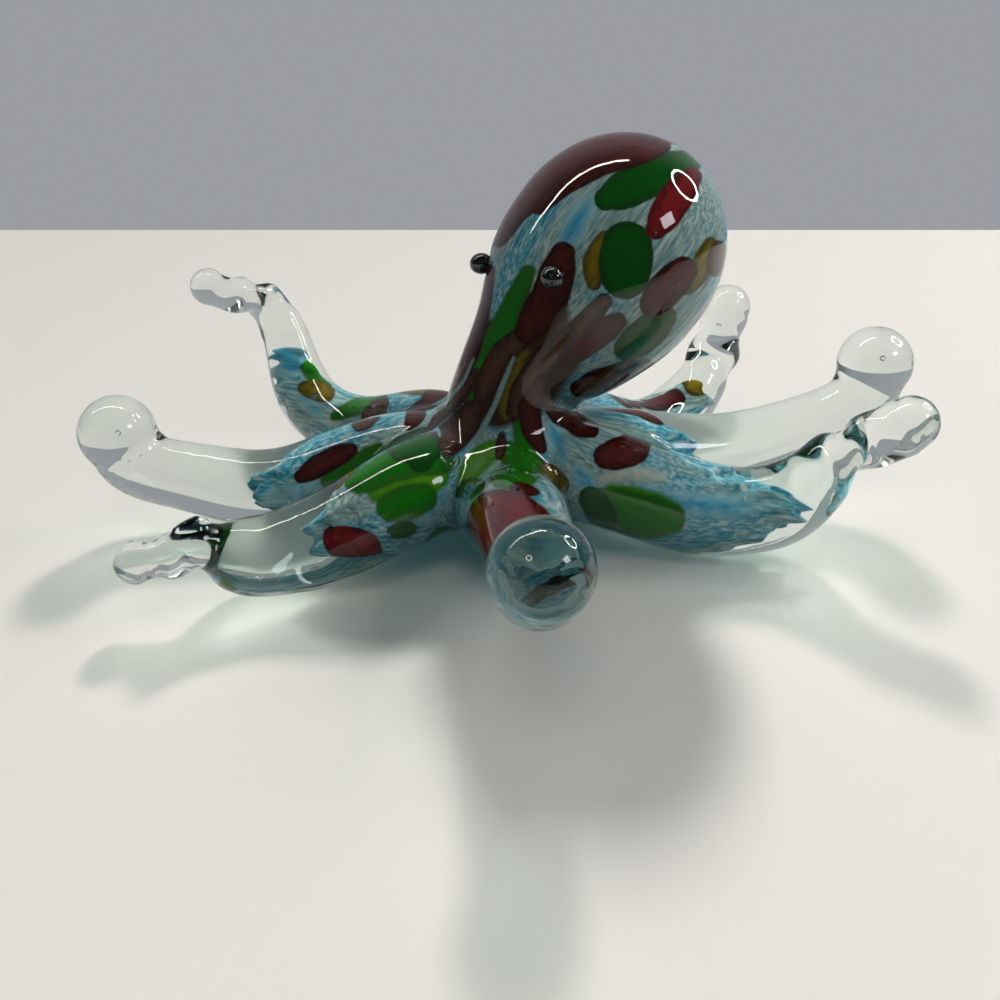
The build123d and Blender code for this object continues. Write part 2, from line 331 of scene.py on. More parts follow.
# %% Blow bubbles
# pixel across and down, radius in mm, place between the skin and what lies behind it
seen_bubbles = [
    (449, 459, 3.3, 0.5), (118, 433, 0.7, 0.3), (152, 438, 0.6, 0.4), (120, 452, 0.5, 0.6),
    (129, 457, 0.4, 0.5), (139, 454, 0.45, 0.5), (316, 397, 1.2, 0.4), (335, 373, 0.7, 0.5),
    (350, 391, 0.5, 0.5), (343, 399, 0.5, 0.5), (589, 150, 0.5, 0.5), (662, 164, 0.5, 0.5),
    (655, 233, 0.6, 0.5), (677, 284, 0.5, 0.5), (569, 312, 0.45, 0.5), (594, 337, 0.45, 0.5),
    (625, 368, 0.45, 0.5), (460, 381, 0.5, 0.5), (516, 358, 0.4, 0.5), (521, 397, 0.45, 0.5),
    (388, 533, 0.6, 0.5), (215, 547, 0.6, 0.4), (590, 466, 0.6, 0.5), (671, 316, 0.6, 0.5),
    (744, 500, 0.6, 0.5), (880, 360, 0.6, 0.5), (720, 325, 0.5, 0.5), (560, 580, 0.7, 0.6),
    (533, 562, 0.5, 0.4), (300, 470, 0.5, 0.5),
]
WALL_SHARE = 0.36
JUST_INSIDE = MM / 10
BUBBLE_ROUNDNESS = 3
bubble_skin = BVHTree.FromObject(skin, bpy.context.evaluated_depsgraph_get())
bubble_core = BVHTree.FromObject(core, bpy.context.evaluated_depsgraph_get())
blown = bmesh.new()
blown.from_mesh(skin.data)
bubbles = 0
for across, down, radius, depth_share in seen_bubbles:
    ray = pixel_ray(across, down)
    front, normal = bubble_skin.ray_cast(eye_place, ray)[:2]
    if front is None:
        continue
    inside = front + ray * JUST_INSIDE
    back = bubble_core.ray_cast(inside, ray)[0] or bubble_skin.ray_cast(inside, ray)[0]
    if back is None:
        continue
    middle = front.lerp(back, depth_share)
    room = min(bubble_skin.find_nearest(middle)[3], bubble_core.find_nearest(middle)[3])
    high = min(radius * MM, room * 2 * WALL_SHARE)
    made = bmesh.ops.create_icosphere(blown, subdivisions=BUBBLE_ROUNDNESS, radius=radius * MM)["verts"]
    for corner in made:
        corner.co -= normal * corner.co.dot(normal) * (1 - high / (radius * MM))
        corner.co += middle
    bmesh.ops.reverse_faces(blown, faces=list({face for corner in made for face in corner.link_faces}))
    bubbles += 1
blown.to_mesh(skin.data)
blown.free()
skin.data.shade_smooth()
print(bubbles, "of", len(seen_bubbles), "bubbles made;", len(skin.data.polygons), "faces in the skin")

# %% [markdown]
# ## Chips and streaks of colour
# Before the last gather the soft core was rolled over crushed glass, so chips of maroon, green, amber
# and blue stuck to it, and they stretched where the glass was pulled. Each chip here is a line and a
# width. The chips that the picture shows are laid by its pixels, and the far sides get chips from a
# seeded draw, drawn out the way the glass flowed. Each colour is kept on the mesh as a depth in mm
# inside its chips, which the material turns into sharp edges.

# %% Chips that show in the photograph
# colour, half width in mm, pixels along the chip
seen_chips = [
    ("umber", 7.0, (548, 318), (520, 352), (504, 384), (498, 408)),
    ("umber", 6.0, (574, 342), (546, 368), (528, 392), (520, 410)),
    ("umber", 4.0, (492, 330), (478, 362), (462, 388)),
    ("maroon", 3.6, (497, 238), (511, 212), (553, 170), (592, 147), (625, 140), (652, 147)),
    ("leaf", 2.4, (528, 209), (570, 165), (602, 148)),
    ("maroon", 2.7, (538, 208), (565, 183), (600, 164), (648, 150), (664, 146)),
    ("bottle", 4.6, (606, 199), (628, 188), (652, 176), (690, 162)),
    # this thin chip along the top of the head is blue frit with a painted highlight: its pale blue edge
    # colour stands in for the shine there
    ("blue", 1.3, (664, 157), (694, 154)),
    ("red", 3.8, (691, 178), (671, 205), (656, 229)),
    ("bottle", 6.2, (627, 246), (625, 274)),
    ("amber", 2.6, (605, 238), (594, 262), (594, 283)),
    ("maroon", 4.4, (563, 254), (549, 300), (527, 332)),
    ("leaf", 3.0, (528, 272), (509, 316), (491, 352), (478, 372), (468, 396)),
    ("maroon", 2.4, (488, 270), (478, 318), (468, 352), (454, 376), (433, 396), (421, 407)),
    ("brown", 1.8, (475, 372), (462, 393), (445, 408), (427, 432)),
    ("brown", 3.2, (604, 301), (576, 334), (548, 358), (535, 374), (522, 392), (514, 412)),
    ("maroon", 3.2, (618, 321), (591, 340), (566, 358)),
    ("bottle", 3.8, (664, 316), (645, 335), (626, 349)),
    ("maroon", 3.0, (648, 368), (610, 379), (577, 389)),
    ("maroon", 4.0, (684, 270), (665, 290), (653, 304)),
    ("amber", 2.4, (711, 243), (700, 270), (686, 289)),
    ("brown", 2.0, (719, 247), (714, 270)),
    ("blue", 2.6, (590, 200), (578, 218), (565, 247)),
    ("brown", 3.0, (527, 332), (504, 352), (493, 371), (481, 396)),
    ("brown", 3.6, (473, 410), (461, 428), (449, 445)),
    ("blue", 1.1, (466, 404), (450, 419), (433, 438), (430, 447)),
    ("thread", 0.35, (474, 358), (463, 382), (436, 411), (422, 423)),
    ("thread", 0.6, (514, 357), (504, 381), (495, 404), (481, 432), (467, 451)),
    ("amber", 2.0, (525, 352), (514, 376), (507, 401), (505, 416)),
    ("maroon", 2.6, (542, 381), (529, 407), (532, 431), (541, 448)),
    ("leaf", 2.6, (520, 426), (526, 444), (529, 468)),
    ("leaf", 2.2, (509, 445), (508, 462)),
    ("brown", 1.3, (502, 434), (499, 458)),
    ("lime", 3.4, (492, 448), (474, 464), (463, 484)),
    ("leaf", 3.2, (538, 462), (520, 474), (500, 478)),
    ("amber", 2.6, (548, 470), (562, 484)),
    ("blue", 2.3, (552, 428), (563, 458)),
    ("maroon", 2.4, (551, 410), (566, 418), (580, 424), (593, 431)),
    ("maroon", 3.6, (606, 456), (637, 450)),
    ("bottle", 3.2, (590, 498), (606, 518)),
    ("leaf", 4.6, (600, 502), (636, 514), (672, 519)),
    ("lime", 3.8, (612, 496), (644, 507), (672, 513)),
    ("blue", 2.4, (640, 489), (675, 502), (726, 507), (751, 505)),
    ("cream", 1.7, (602, 479), (624, 472), (662, 477)),
    ("blue", 2.0, (576, 470), (590, 486)),
    ("maroon", 2.6, (645, 404), (680, 397)),
    ("brown", 2.2, (603, 394), (640, 403)),
    ("blue", 1.8, (612, 385), (649, 393), (690, 386)),
    ("amber", 3.2, (713, 360), (712, 375)),
    ("red", 6.0, (489, 516), (504, 522), (522, 530)),
    ("leaf", 2.4, (549, 506), (556, 524)),
    ("maroon", 1.5, (517, 487), (533, 492)),
    ("blue", 3.8, (286, 352), (292, 364)),
    ("leaf", 2.2, (306, 366), (332, 380), (362, 386)),
    ("amber", 2.4, (304, 387), (328, 395), (358, 394)),
    ("leaf", 2.0, (334, 416), (356, 407), (384, 395)),
    ("blue", 1.6, (303, 397), (320, 414)),
    ("brown", 2.4, (357, 424), (384, 403)),
    ("maroon", 2.5, (300, 477), (328, 461), (352, 449)),
    ("leaf", 1.9, (324, 482), (353, 464), (379, 446)),
    # this thin blue streak along the lower edge of the arm that reaches left is painted shade: it stands in
    # for the floor's shadow seen through the clear glass
    ("blue", 1.4, (268, 499), (300, 489), (322, 484)),
    ("maroon", 2.3, (409, 426), (426, 402)),
    ("bottle", 4.0, (400, 446), (424, 443), (420, 458)),
    ("leaf", 4.4, (352, 478), (386, 462), (420, 455), (446, 462)),
    ("lime", 3.6, (378, 492), (412, 483), (440, 478)),
    ("leaf", 3.8, (390, 508), (424, 497)),
    ("bottle", 1.6, (392, 531), (412, 528)),
    ("red", 3.4, (337, 567), (370, 558), (412, 549), (428, 550)),
    ("blue", 2.0, (438, 490), (446, 505)),
    ("blue", 1.6, (421, 516), (434, 512)),
    ("bottle", 2.4, (460, 491), (478, 486)),
    ("blue", 1.6, (498, 483), (506, 490)),
]
GLASS_IOR = 1.52
NEAR_CORE = 14
core_tree = BVHTree.FromObject(core, bpy.context.evaluated_depsgraph_get())
skin_tree = BVHTree.FromObject(skin, bpy.context.evaluated_depsgraph_get())


def bent(ray, normal):
    """A ray that enters the glass, bent towards the normal."""
    facing = -ray.dot(normal)
    inside = 1 - (1 - facing * facing) / GLASS_IOR ** 2
    return ray / GLASS_IOR + normal * (facing / GLASS_IOR - math.sqrt(inside))


def seen_line(pixels):
    """Pixels of the photograph as points in mm on the core, as they are seen through the clear glass."""
    points = []
    for across, down in pixels:
        ray = pixel_ray(across, down)
        hit, normal = skin_tree.ray_cast(eye_place, ray)[:2]
        if hit is None:
            continue
        inner = core_tree.ray_cast(hit, bent(ray, normal))[0]
        if inner is None:
            inner, _, _, distance = core_tree.find_nearest(hit)
            if distance > NEAR_CORE * MM:
                continue
        points.append(np.array(inner) / MM)
    return points


chips = []
for colour, half_width, *pixels in seen_chips:
    line = seen_line(pixels)
    if len(line) > 1:
        chips.append((colour, half_width, line, True))
print(len(chips), "of", len(seen_chips), "chips meet the core")

# %% [markdown]
# ## How the glass flowed
# Pulled glass drags its colour along. On the head the streaks run lengthwise, and on the arms they run
# outwards. We work out that direction at each corner of the core, and blend it over the neck.

# %% Flow
NECK_SET_BACK, NECK_HEIGHT = 2.4, 43.5
NECK = np.array([HUB_AXIS.x, HUB_AXIS.y + NECK_SET_BACK, NECK_HEIGHT])
HEAD_LEAN = math.radians(46)
NECK_RADIUS = 16.5
LEAST_REACH = 1
head_way = np.array([0, math.sin(HEAD_LEAN), math.cos(HEAD_LEAN)])
core_places = places_of(core.data)
core_normals = normals_of(core.data)
from_hub = core_places - np.array(HUB_AXIS)
reach = np.maximum(np.hypot(from_hub[:, 0], from_hub[:, 1]), LEAST_REACH)
bearing = np.arctan2(from_hub[:, 1], from_hub[:, 0])
along_head = (core_places - NECK) @ head_way
NECK_FOOT, NECK_BLEND = 32, 22
ARM_TOP, HEAD_REACH, ARM_BLEND = 50, 70, 10
height = core_places[:, 2]
over_hub = np.clip((HEAD_REACH - reach) / ARM_BLEND, 0, 1)
over_arms = np.clip((height - ARM_TOP) / ARM_BLEND, 0, 1)
in_head = np.clip((height - NECK_FOOT) / NECK_BLEND, 0, 1) * np.maximum(over_hub, over_arms)
outwards = np.stack([np.cos(bearing), np.sin(bearing), 0 * bearing], axis=1)
flow = in_head[:, None] * -head_way + (1 - in_head[:, None]) * outwards
flow -= np.einsum("ij,ij->i", flow, core_normals)[:, None] * core_normals
SHORTEST = 1e-6
flow /= np.maximum(np.linalg.norm(flow, axis=1), SHORTEST)[:, None]
print("flow over", len(flow), "corners")

# %% [markdown]
# ## Chips on the far sides
# The picture doesn't show the far sides, so their chips are drawn at random, with a fixed seed that gives
# the same ones in each run. They could be painted on a texture, but a draw along the flow needs no
# unwrapping. The middle of a chip keeps off the ends of the arms and away from the chips laid before it.

# %% Draw the hidden chips
DRAW = random.Random(8)
HIDDEN_CHIPS = 220
CHIP_SPACING = 7.5
DRAWN_REACH = 50
DRAWN_HALF_WIDTHS, DRAWN_HALF_LENGTHS = (2.4, 5.4), (4, 12)
DRAWN_STATION_SHARES = (-1, -0.5, 0, 0.5, 1)
colour_draw = ["maroon", "maroon", "brown", "bottle", "leaf", "leaf", "amber", "blue", "blue"]
towards_eye = np.array(eye_place) / MM - core_places
towards_eye /= np.linalg.norm(towards_eye, axis=1)[:, None]
facing = np.einsum("ij,ij->i", towards_eye, core_normals)
GRAZING = 0.02
hidden = np.nonzero(facing < GRAZING)[0]
taken = np.array([point for _, _, line, _ in chips for point in line])
for _ in range(HIDDEN_CHIPS):
    middle = hidden[DRAW.randrange(len(hidden))]
    colour = DRAW.choice(colour_draw)
    half_width = DRAW.uniform(*DRAWN_HALF_WIDTHS)
    half_length = DRAW.uniform(*DRAWN_HALF_LENGTHS)
    place = core_places[middle]
    on_arm_end = reach[middle] > DRAWN_REACH and height[middle] < ARM_TOP
    if on_arm_end or np.min(np.linalg.norm(taken - place, axis=1)) < CHIP_SPACING:
        continue
    line = []
    for share in DRAWN_STATION_SHARES:
        wanted = place + flow[middle] * half_length * share
        line.append(np.array(core_tree.find_nearest(Vector(wanted) * MM)[0]) / MM)
    chips.append((colour, half_width, line, False))
    taken = np.concatenate([taken, np.array(line)])
print(len(chips), "chips in all")

# %% [markdown]
# ## From chips to depths
# A chip that the camera sees keeps the outline that it has in the picture, so its distance is measured there
# in pixels and turned to mm. One on the far sides is measured straight to its own line in mm.

# %% Depth inside the chips of each colour
colours = ["umber", "blue", "cream", "lime", "leaf", "amber", "bottle", "brown", "maroon", "red", "thread"]
OUTSIDE = -6.0
END_TAPER = 0.4
TAPER_LENGTH = 6
TAPER_CURVE = 3
CHIP_SWELL = 1.15
SLANT_ROOM = 4


def seen_from_camera(points):
    """Pixels and distances at which the camera sees points in mm."""
    placed = (points - np.array(eye_place) / MM) @ np.array(turn @ tilt)
    away = -placed[:, 2]
    across = PHOTO_SIDE / 2 + PHOTO_FOCAL * placed[:, 0] / away
    down = PHOTO_SIDE / 2 - PHOTO_FOCAL * placed[:, 1] / away
    return np.stack([across, down], axis=1), away


def to_segment(points, start, end):
    """How far points lie from a straight line, and the share of the line that is nearest."""
    step = end - start
    share = np.clip((points - start) @ step / max(step @ step, SHORTEST), 0, 1)
    return np.linalg.norm(points - start - share[:, None] * step, axis=1), share


core_pixels, core_away = seen_from_camera(core_places)
depths = {colour: np.full(len(core_places), OUTSIDE) for colour in colours}
for colour, half_width, line, seen in chips:
    line_pixels = seen_from_camera(np.array(line))[0]
    pairs = list(zip(line, line[1:], line_pixels, line_pixels[1:]))
    length = sum(np.linalg.norm(end - start) for start, end, _, _ in pairs)
    taper = END_TAPER * min(1, length / (TAPER_LENGTH * half_width))
    for number, (start, end, pixel_start, pixel_end) in enumerate(pairs):
        distance, share = to_segment(core_places, start, end)
        if seen:
            # a chip that lies slantwise to the camera is longer than it looks
            near = (facing > GRAZING) & (distance < SLANT_ROOM * half_width)
            looks, looks_share = to_segment(core_pixels, pixel_start, pixel_end)
            share = np.where(near, looks_share, share)
            distance = np.where(near, looks * core_away / PHOTO_FOCAL, distance)
        along = (number + share) / len(pairs)
        width = CHIP_SWELL * half_width * (1 - taper * np.abs(2 * along - 1) ** TAPER_CURVE)
        depths[colour] = np.maximum(depths[colour], width - distance)
for colour, depth in depths.items():
    core.data.attributes.new(colour, "FLOAT", "POINT").data.foreach_set("value", depth)
core.data.attributes.new("below_head", "FLOAT", "POINT").data.foreach_set("value", 1 - in_head)
print("share of the core under chips:", {c: round(float((d > 0).mean()), 2) for c, d in depths.items()})

# %% [markdown]
# ## Streaks
# Pulled frit shows as long thin threads. Noise stretched in the frame would run one way all over, so each
# corner of the core gets a place that is counted along the flow and across it, and shortened along it. Noise
# that is drawn in those places comes out stretched the way the glass was pulled.

# %% A stretched place for each corner
STREAK_STRETCH = 9.0
ARM_ROOT_REACH = 40
along = in_head * -along_head + (1 - in_head) * (reach - NECK_RADIUS)
head_back = np.array([0, math.cos(HEAD_LEAN), -math.sin(HEAD_LEAN)])
across_head = np.stack([core_places[:, 0], (core_places - NECK) @ head_back], axis=1)
across_arm = np.stack([bearing * ARM_ROOT_REACH, core_places[:, 2]], axis=1)
across = in_head[:, None] * across_head + (1 - in_head[:, None]) * across_arm
streaks = np.concatenate([along[:, None] / STREAK_STRETCH, across], axis=1)
core.data.attributes.new("streaks", "FLOAT_VECTOR", "POINT").data.foreach_set("vector", streaks.ravel())
print("streaks are", STREAK_STRETCH, "times as long as wide")

# %% [markdown]
# ## Materials
# A colour is written as it looks on screen and turned to linear light, which the renderer counts in.
# One small function adds a node, its settings and its links.

# %% Helpers for materials
def linear(hex_colour):
    """An sRGB hex colour in linear light, with full opacity."""
    parts = [int(hex_colour[place:place + 2], 16) / 255 for place in (1, 3, 5)]
    return [c / 12.92 if c <= 0.04045 else ((c + 0.055) / 1.055) ** 2.4 for c in parts] + [1]


def node(tree, kind, settings=None, stops=(), **inputs):
    """Adds a node, with its settings, the colours along its ramp, and values or sockets for its inputs."""
    made = tree.nodes.new(kind)
    for name, value in (settings or {}).items():
        setattr(made, name, value)
    if stops:
        elements = made.color_ramp.elements
        for element, (place, hex_colour) in zip(elements, (stops[0], stops[-1])):
            element.position, element.color = place, linear(hex_colour)
        for place, hex_colour in stops[1:-1]:
            elements.new(place).color = linear(hex_colour)
    for name, value in inputs.items():
        key = int(name[1:]) if name[0] == "_" and name[1:].isdigit() else name.replace("_", " ")
        if isinstance(value, bpy.types.NodeSocket):
            tree.links.new(value, made.inputs[key])
        else:
            made.inputs[key].default_value = value
    return made


def new_material(name):
    """An empty material, its node tree and its output."""
    material = bpy.data.materials.new(name)
    material.use_nodes = True
    tree = material.node_tree
    tree.nodes.clear()
    return material, tree, tree.nodes.new("ShaderNodeOutputMaterial")


print("mid grey #808080 is", round(linear("#808080")[0], 3), "in linear light")

# %% [markdown]
# ### Clear soda-lime glass
# Furnace glass is soda-lime: IOR about 1.52, mirror smooth from the fire, with a faint sea-green tint
# that shows only where the light goes a long way through it. Lamps shine through it, so it lets
# shadow rays pass instead of casting a black shadow.

# %% Clear glass
clear_glass, tree, output = new_material("clear_soda_lime_glass")
glass = node(tree, "ShaderNodeBsdfPrincipled", Base_Color=linear("#FFFFFF"), Roughness=0.0, IOR=GLASS_IOR,
             Transmission_Weight=1.0)
passing = node(tree, "ShaderNodeBsdfTransparent", Color=linear("#D6DEDB"))
path = node(tree, "ShaderNodeLightPath")
surface = node(tree, "ShaderNodeMixShader", _0=path.outputs["Is Shadow Ray"],
               _1=glass.outputs[0], _2=passing.outputs[0])
tint = node(tree, "ShaderNodeVolumeAbsorption", Color=linear("#C9DCD5"), Density=24.0)
tree.links.new(surface.outputs[0], output.inputs["Surface"])
tree.links.new(tint.outputs[0], output.inputs["Volume"])
skin.data.materials.append(clear_glass)
print(clear_glass.name, "with IOR", GLASS_IOR)

# %% [markdown]
# ### Coloured chips in pale frit
# Frit is crushed glass. Melted in, it leaves a cloudy ground of white, grey-green and sky-blue threads
# about a millimetre wide, and the larger chips keep their edges. The ground is noise that is stretched
# along the flow, and each chip colour covers it where its depth is above nothing, a little ragged.

# %% Coloured glass
colour_glass, tree, output = new_material("frit_and_chip_glass")
# width in mm and detail of the noise
streak_looks = {
    "thread": (0.75, 3.0),
    "cloud": (14.0, 2.0),
    "white_thread": (1.6, 3.0),
    "ragged_edge": (2.4, 3.0),
    "inner_streak": (1.2, 3.0),
}
SKY_FROM, SKY_TO = 0.5, 0.63
WHITE_FROM, WHITE_TO, WHITE_MOST = 0.56, 0.68, 0.6
BELOW_HEAD_BLUE = 0.08
streak_place = node(tree, "ShaderNodeAttribute", {"attribute_name": "streaks"}).outputs["Vector"]
streak_noise = {
    name: node(tree, "ShaderNodeTexNoise", Vector=streak_place, Scale=1 / width, Detail=detail).outputs[0]
    for name, (width, detail) in streak_looks.items()
}
pale = node(tree, "ShaderNodeValToRGB", stops=[(0.3, "#5B7F86"), (0.5, "#84A09F"), (0.7, "#B4C2BD")],
            Fac=streak_noise["thread"])
sky = node(tree, "ShaderNodeValToRGB", stops=[(0.3, "#176C8E"), (0.5, "#529CB0"), (0.7, "#A4C6CA")],
           Fac=streak_noise["thread"])
below_head = node(tree, "ShaderNodeAttribute", {"attribute_name": "below_head"}).outputs["Fac"]
bluer = node(tree, "ShaderNodeMath", {"operation": "MULTIPLY_ADD"},
             _0=below_head, _1=BELOW_HEAD_BLUE, _2=streak_noise["cloud"])
cloud_share = node(tree, "ShaderNodeMapRange", Value=bluer.outputs[0], From_Min=SKY_FROM, From_Max=SKY_TO)
ground = node(tree, "ShaderNodeMix", {"data_type": "RGBA"}, Factor=cloud_share.outputs[0],
              _6=pale.outputs[0], _7=sky.outputs[0])
white_share = node(tree, "ShaderNodeMapRange", Value=streak_noise["white_thread"],
                   From_Min=WHITE_FROM, From_Max=WHITE_TO, To_Max=WHITE_MOST)
shown = node(tree, "ShaderNodeMix", {"data_type": "RGBA"}, Factor=white_share.outputs[0],
             _6=ground.outputs[2], _7=linear("#C9D1CA")).outputs[2]
print("frit threads are", streak_looks["thread"][0], "mm wide")

# %% [markdown]
# ### Chips over the frit
# The chips are furnace glass too, coloured through by metal oxides: glassmakers commonly get maroon and red
# from manganese and copper, greens from chromium, and blue from cobalt and copper. They lie under the clear
# gather, so they have no shine of their own, and their edges are a little ragged where they lie in the frit.
# A little light comes through, so their shadow is blue-green and not black.

# %% Chip colours
# edge softness in mm, and colours from the edge of a chip to its middle
chip_looks = {
    "umber": (2.0, "#3A2C20", "#3B241A"),
    "blue": (2.2, "#8FBAC2", "#3F93B6"),
    "cream": (1.6, "#9DAAA2", "#C2C6BA"),
    "lime": (1.2, "#2F7A12", "#55920E"),
    "leaf": (0.8, "#2B5E18", "#12720C"),
    "amber": (0.6, "#453A12", "#7C6816"),
    "bottle": (0.5, "#123E10", "#045006"),
    "brown": (0.5, "#2E1A10", "#57392B"),
    "maroon": (0.5, "#2A0F0A", "#521D18"),
    "red": (0.5, "#4A0E10", "#7D1B1E"),
    "thread": (0.5, "#7F9999", "#9AB0AE"),
}
CHIP_MIDDLE = 3.0
RAGGED = 0.3
INNER_STREAKS = 0.9
ragged = node(tree, "ShaderNodeMath", {"operation": "MULTIPLY_ADD"},
              _0=streak_noise["ragged_edge"], _1=2 * RAGGED, _2=-RAGGED).outputs[0]
inner_streaks = node(tree, "ShaderNodeMath", {"operation": "MULTIPLY_ADD"},
                     _0=streak_noise["inner_streak"], _1=2 * INNER_STREAKS, _2=-INNER_STREAKS).outputs[0]
for colour in colours:
    softness, edge_colour, middle_colour = chip_looks[colour]
    depth = node(tree, "ShaderNodeAttribute", {"attribute_name": colour}).outputs["Fac"]
    ragged_depth = node(tree, "ShaderNodeMath", {"operation": "ADD"}, _0=depth, _1=ragged).outputs[0]
    cover = node(tree, "ShaderNodeMapRange", Value=ragged_depth,
                 From_Min=-softness / 2, From_Max=softness / 2)
    inside = node(tree, "ShaderNodeMapRange", Value=ragged_depth, From_Min=0.0, From_Max=CHIP_MIDDLE)
    streaky = node(tree, "ShaderNodeMath", {"operation": "ADD"}, _0=inside.outputs[0], _1=inner_streaks)
    tone = node(tree, "ShaderNodeValToRGB", stops=[(0, edge_colour), (1, middle_colour)],
                Fac=streaky.outputs[0])
    shown = node(tree, "ShaderNodeMix", {"data_type": "RGBA"}, Factor=cover.outputs[0],
                 _6=shown, _7=tone.outputs[0]).outputs[2]
coloured = node(tree, "ShaderNodeBsdfPrincipled", Base_Color=shown, Roughness=0.6, Specular_IOR_Level=0.0)
passing = node(tree, "ShaderNodeBsdfTransparent", Color=linear("#4F8A94"))
path = node(tree, "ShaderNodeLightPath")
surface = node(tree, "ShaderNodeMixShader", _0=path.outputs["Is Shadow Ray"],
               _1=coloured.outputs[0], _2=passing.outputs[0])
tree.links.new(surface.outputs[0], output.inputs["Surface"])
core.data.materials.append(colour_glass)
print(colour_glass.name, "with", len(colours), "chip colours")

# %% [markdown]
# ## Eyes
# Each eye is a drop of black glass, dabbed on hot and rolled in silver grit. It is a bead a little
# flatter than a ball, and it sits in its dimple on the face.

# %% Eye beads
EYE_FLATNESS = 0.92
EYE_ROUNDNESS = 5
eye_glass, tree, output = new_material("black_glass_with_silver_grit")
GRIT_SIZE = 0.45
BARE_SHARE, SPECK_SHARE = 0.74, 0.42
grit_place = node(tree, "ShaderNodeTexCoord").outputs["Object"]
grit = node(tree, "ShaderNodeTexVoronoi", Vector=grit_place, Scale=1 / (GRIT_SIZE * MM))
lit_grit = node(tree, "ShaderNodeMath", {"operation": "GREATER_THAN"},
                _0=grit.outputs["Color"], _1=BARE_SHARE)
near_grit = node(tree, "ShaderNodeMath", {"operation": "LESS_THAN"},
                 _0=grit.outputs["Distance"], _1=SPECK_SHARE)
flecks = node(tree, "ShaderNodeMath", {"operation": "MULTIPLY"},
              _0=lit_grit.outputs[0], _1=near_grit.outputs[0])
bead_colour = node(tree, "ShaderNodeValToRGB", stops=[(0, "#060607"), (1, "#6A7078")], Fac=flecks.outputs[0])
bead = node(tree, "ShaderNodeBsdfPrincipled", Base_Color=bead_colour.outputs[0], Roughness=0.08,
            IOR=GLASS_IOR, Coat_Weight=0.6)
tree.links.new(bead.outputs[0], output.inputs["Surface"])
for name in ("left_eye", "right_eye"):
    low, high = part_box(name)
    ball = bmesh.new()
    bmesh.ops.create_icosphere(ball, subdivisions=EYE_ROUNDNESS, radius=(high - low).x / 2)
    out = ((low + high) / 2 - Vector(NECK) * MM).normalized()
    for corner in ball.verts:
        corner.co -= out * corner.co.dot(out) * (1 - EYE_FLATNESS)
        corner.co += (low + high) / 2
    mesh = bpy.data.meshes.new(name + "_bead")
    ball.to_mesh(mesh)
    ball.free()
    mesh.shade_smooth()
    mesh.materials.append(eye_glass)
    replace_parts(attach(new_piece(name + "_bead", mesh), "root"), name)
    print(name, "bead", round((high - low).x / MM, 1), "mm")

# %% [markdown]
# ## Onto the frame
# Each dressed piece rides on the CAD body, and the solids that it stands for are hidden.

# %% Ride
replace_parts(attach(skin, "root"), *casing_nodes)
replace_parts(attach(core, "root"), *colour_nodes)
print("skin stands for", len(casing_nodes), "solids and core for", len(colour_nodes))

# %% [markdown]
# ## Table
# Glass looks like what is round it. A pale board ends at the same height as in the picture, and beyond it
# is a grey wall. Its face is smooth but not polished, which gives a broad soft sheen and no mirror image. The
# board lies a hair under the glass, so that the two faces don't flicker.

# %% Table
TABLE_BACK, TABLE_FRONT, TABLE_SIDE = 463, -1500, 1500
TABLE_GAP = 0.05
corners = [
    (-TABLE_SIDE, TABLE_FRONT), (TABLE_SIDE, TABLE_FRONT),
    (TABLE_SIDE, TABLE_BACK), (-TABLE_SIDE, TABLE_BACK),
]
mesh = bpy.data.meshes.new("table")
mesh.from_pydata([from_photo(x, y, -TABLE_GAP) for x, y in corners], [], [(0, 1, 2, 3)])
new_piece("table", mesh)
laminate, tree, output = new_material("pale_table")
board = node(tree, "ShaderNodeBsdfPrincipled", Base_Color=linear("#DDDAD5"), Roughness=0.55)
tree.links.new(board.outputs[0], output.inputs["Surface"])
mesh.materials.append(laminate)
print("the table reaches", TABLE_BACK, "mm behind the hub")

# %% [markdown]
# ## Lamps
# A window far behind and above throws the shadows towards us, as in the picture. It is two lamps at one
# place: one lights the table only straight on, and a weaker one shines through the glass too, which draws
# the bright patches inside its shadow. A long narrow tube draws the thin line on the head, and a fill lamp
# and a side lamp lift the near sides a little.

# %% Lamps
LAMP_AIM = (0, 0, 40)
WINDOW_PLACE, WINDOW_SIDE = (760, 8000, 5685), 1100
# place beside the hub, width and depth in mm, power in watts, colour
lamps = {
    "tube_lamp": ((-440, 190, 700), 1100, 26, 2.2, "#FFF8EC"),
    "window_lamp": (WINDOW_PLACE, WINDOW_SIDE, WINDOW_SIDE, 800.0, "#FFFEFA"),
    "sparkle_lamp": (WINDOW_PLACE, WINDOW_SIDE, WINDOW_SIDE, 300.0, "#FFFEFA"),
    "fill_lamp": ((-100, -420, 900), 500, 500, 1.3, "#FFFDF8"),
    "side_lamp": ((870, -490, 700), 260, 200, 1.6, "#F6F4FF"),
}


def lamp(name, place, width, depth, power, hex_colour):
    """A soft lamp at a place beside the hub in mm, aimed at the octopus."""
    light = bpy.data.lights.new(name, "AREA")
    light.shape = "RECTANGLE"
    light.size, light.size_y = width * MM, depth * MM
    light.energy = power
    light.color = linear(hex_colour)[:3]
    holder = bpy.data.objects.new(name, light)
    holder.location = from_photo(*place)
    aim = from_photo(*LAMP_AIM) - holder.location
    holder.rotation_euler = aim.to_track_quat("-Z", "Y").to_euler()
    bpy.context.scene.collection.objects.link(holder)
    return holder


holders = {name: lamp(name, *look) for name, look in lamps.items()}
# the tube hangs level and shines straight down
holders["tube_lamp"].rotation_euler = (0, 0, PHOTO_TURN)
holders["tube_lamp"].visible_diffuse = False
for name in ("window_lamp", "sparkle_lamp", "fill_lamp"):
    holders[name].visible_glossy = False
holders["window_lamp"].visible_transmission = False
print(len(holders), "lamps")

# %% [markdown]
# ## Ring lamp
# The small white ring on the head is a round tube, mirrored in the glass. A hoop swept round a circle, with
# a glowing material, gives the same mirror image.

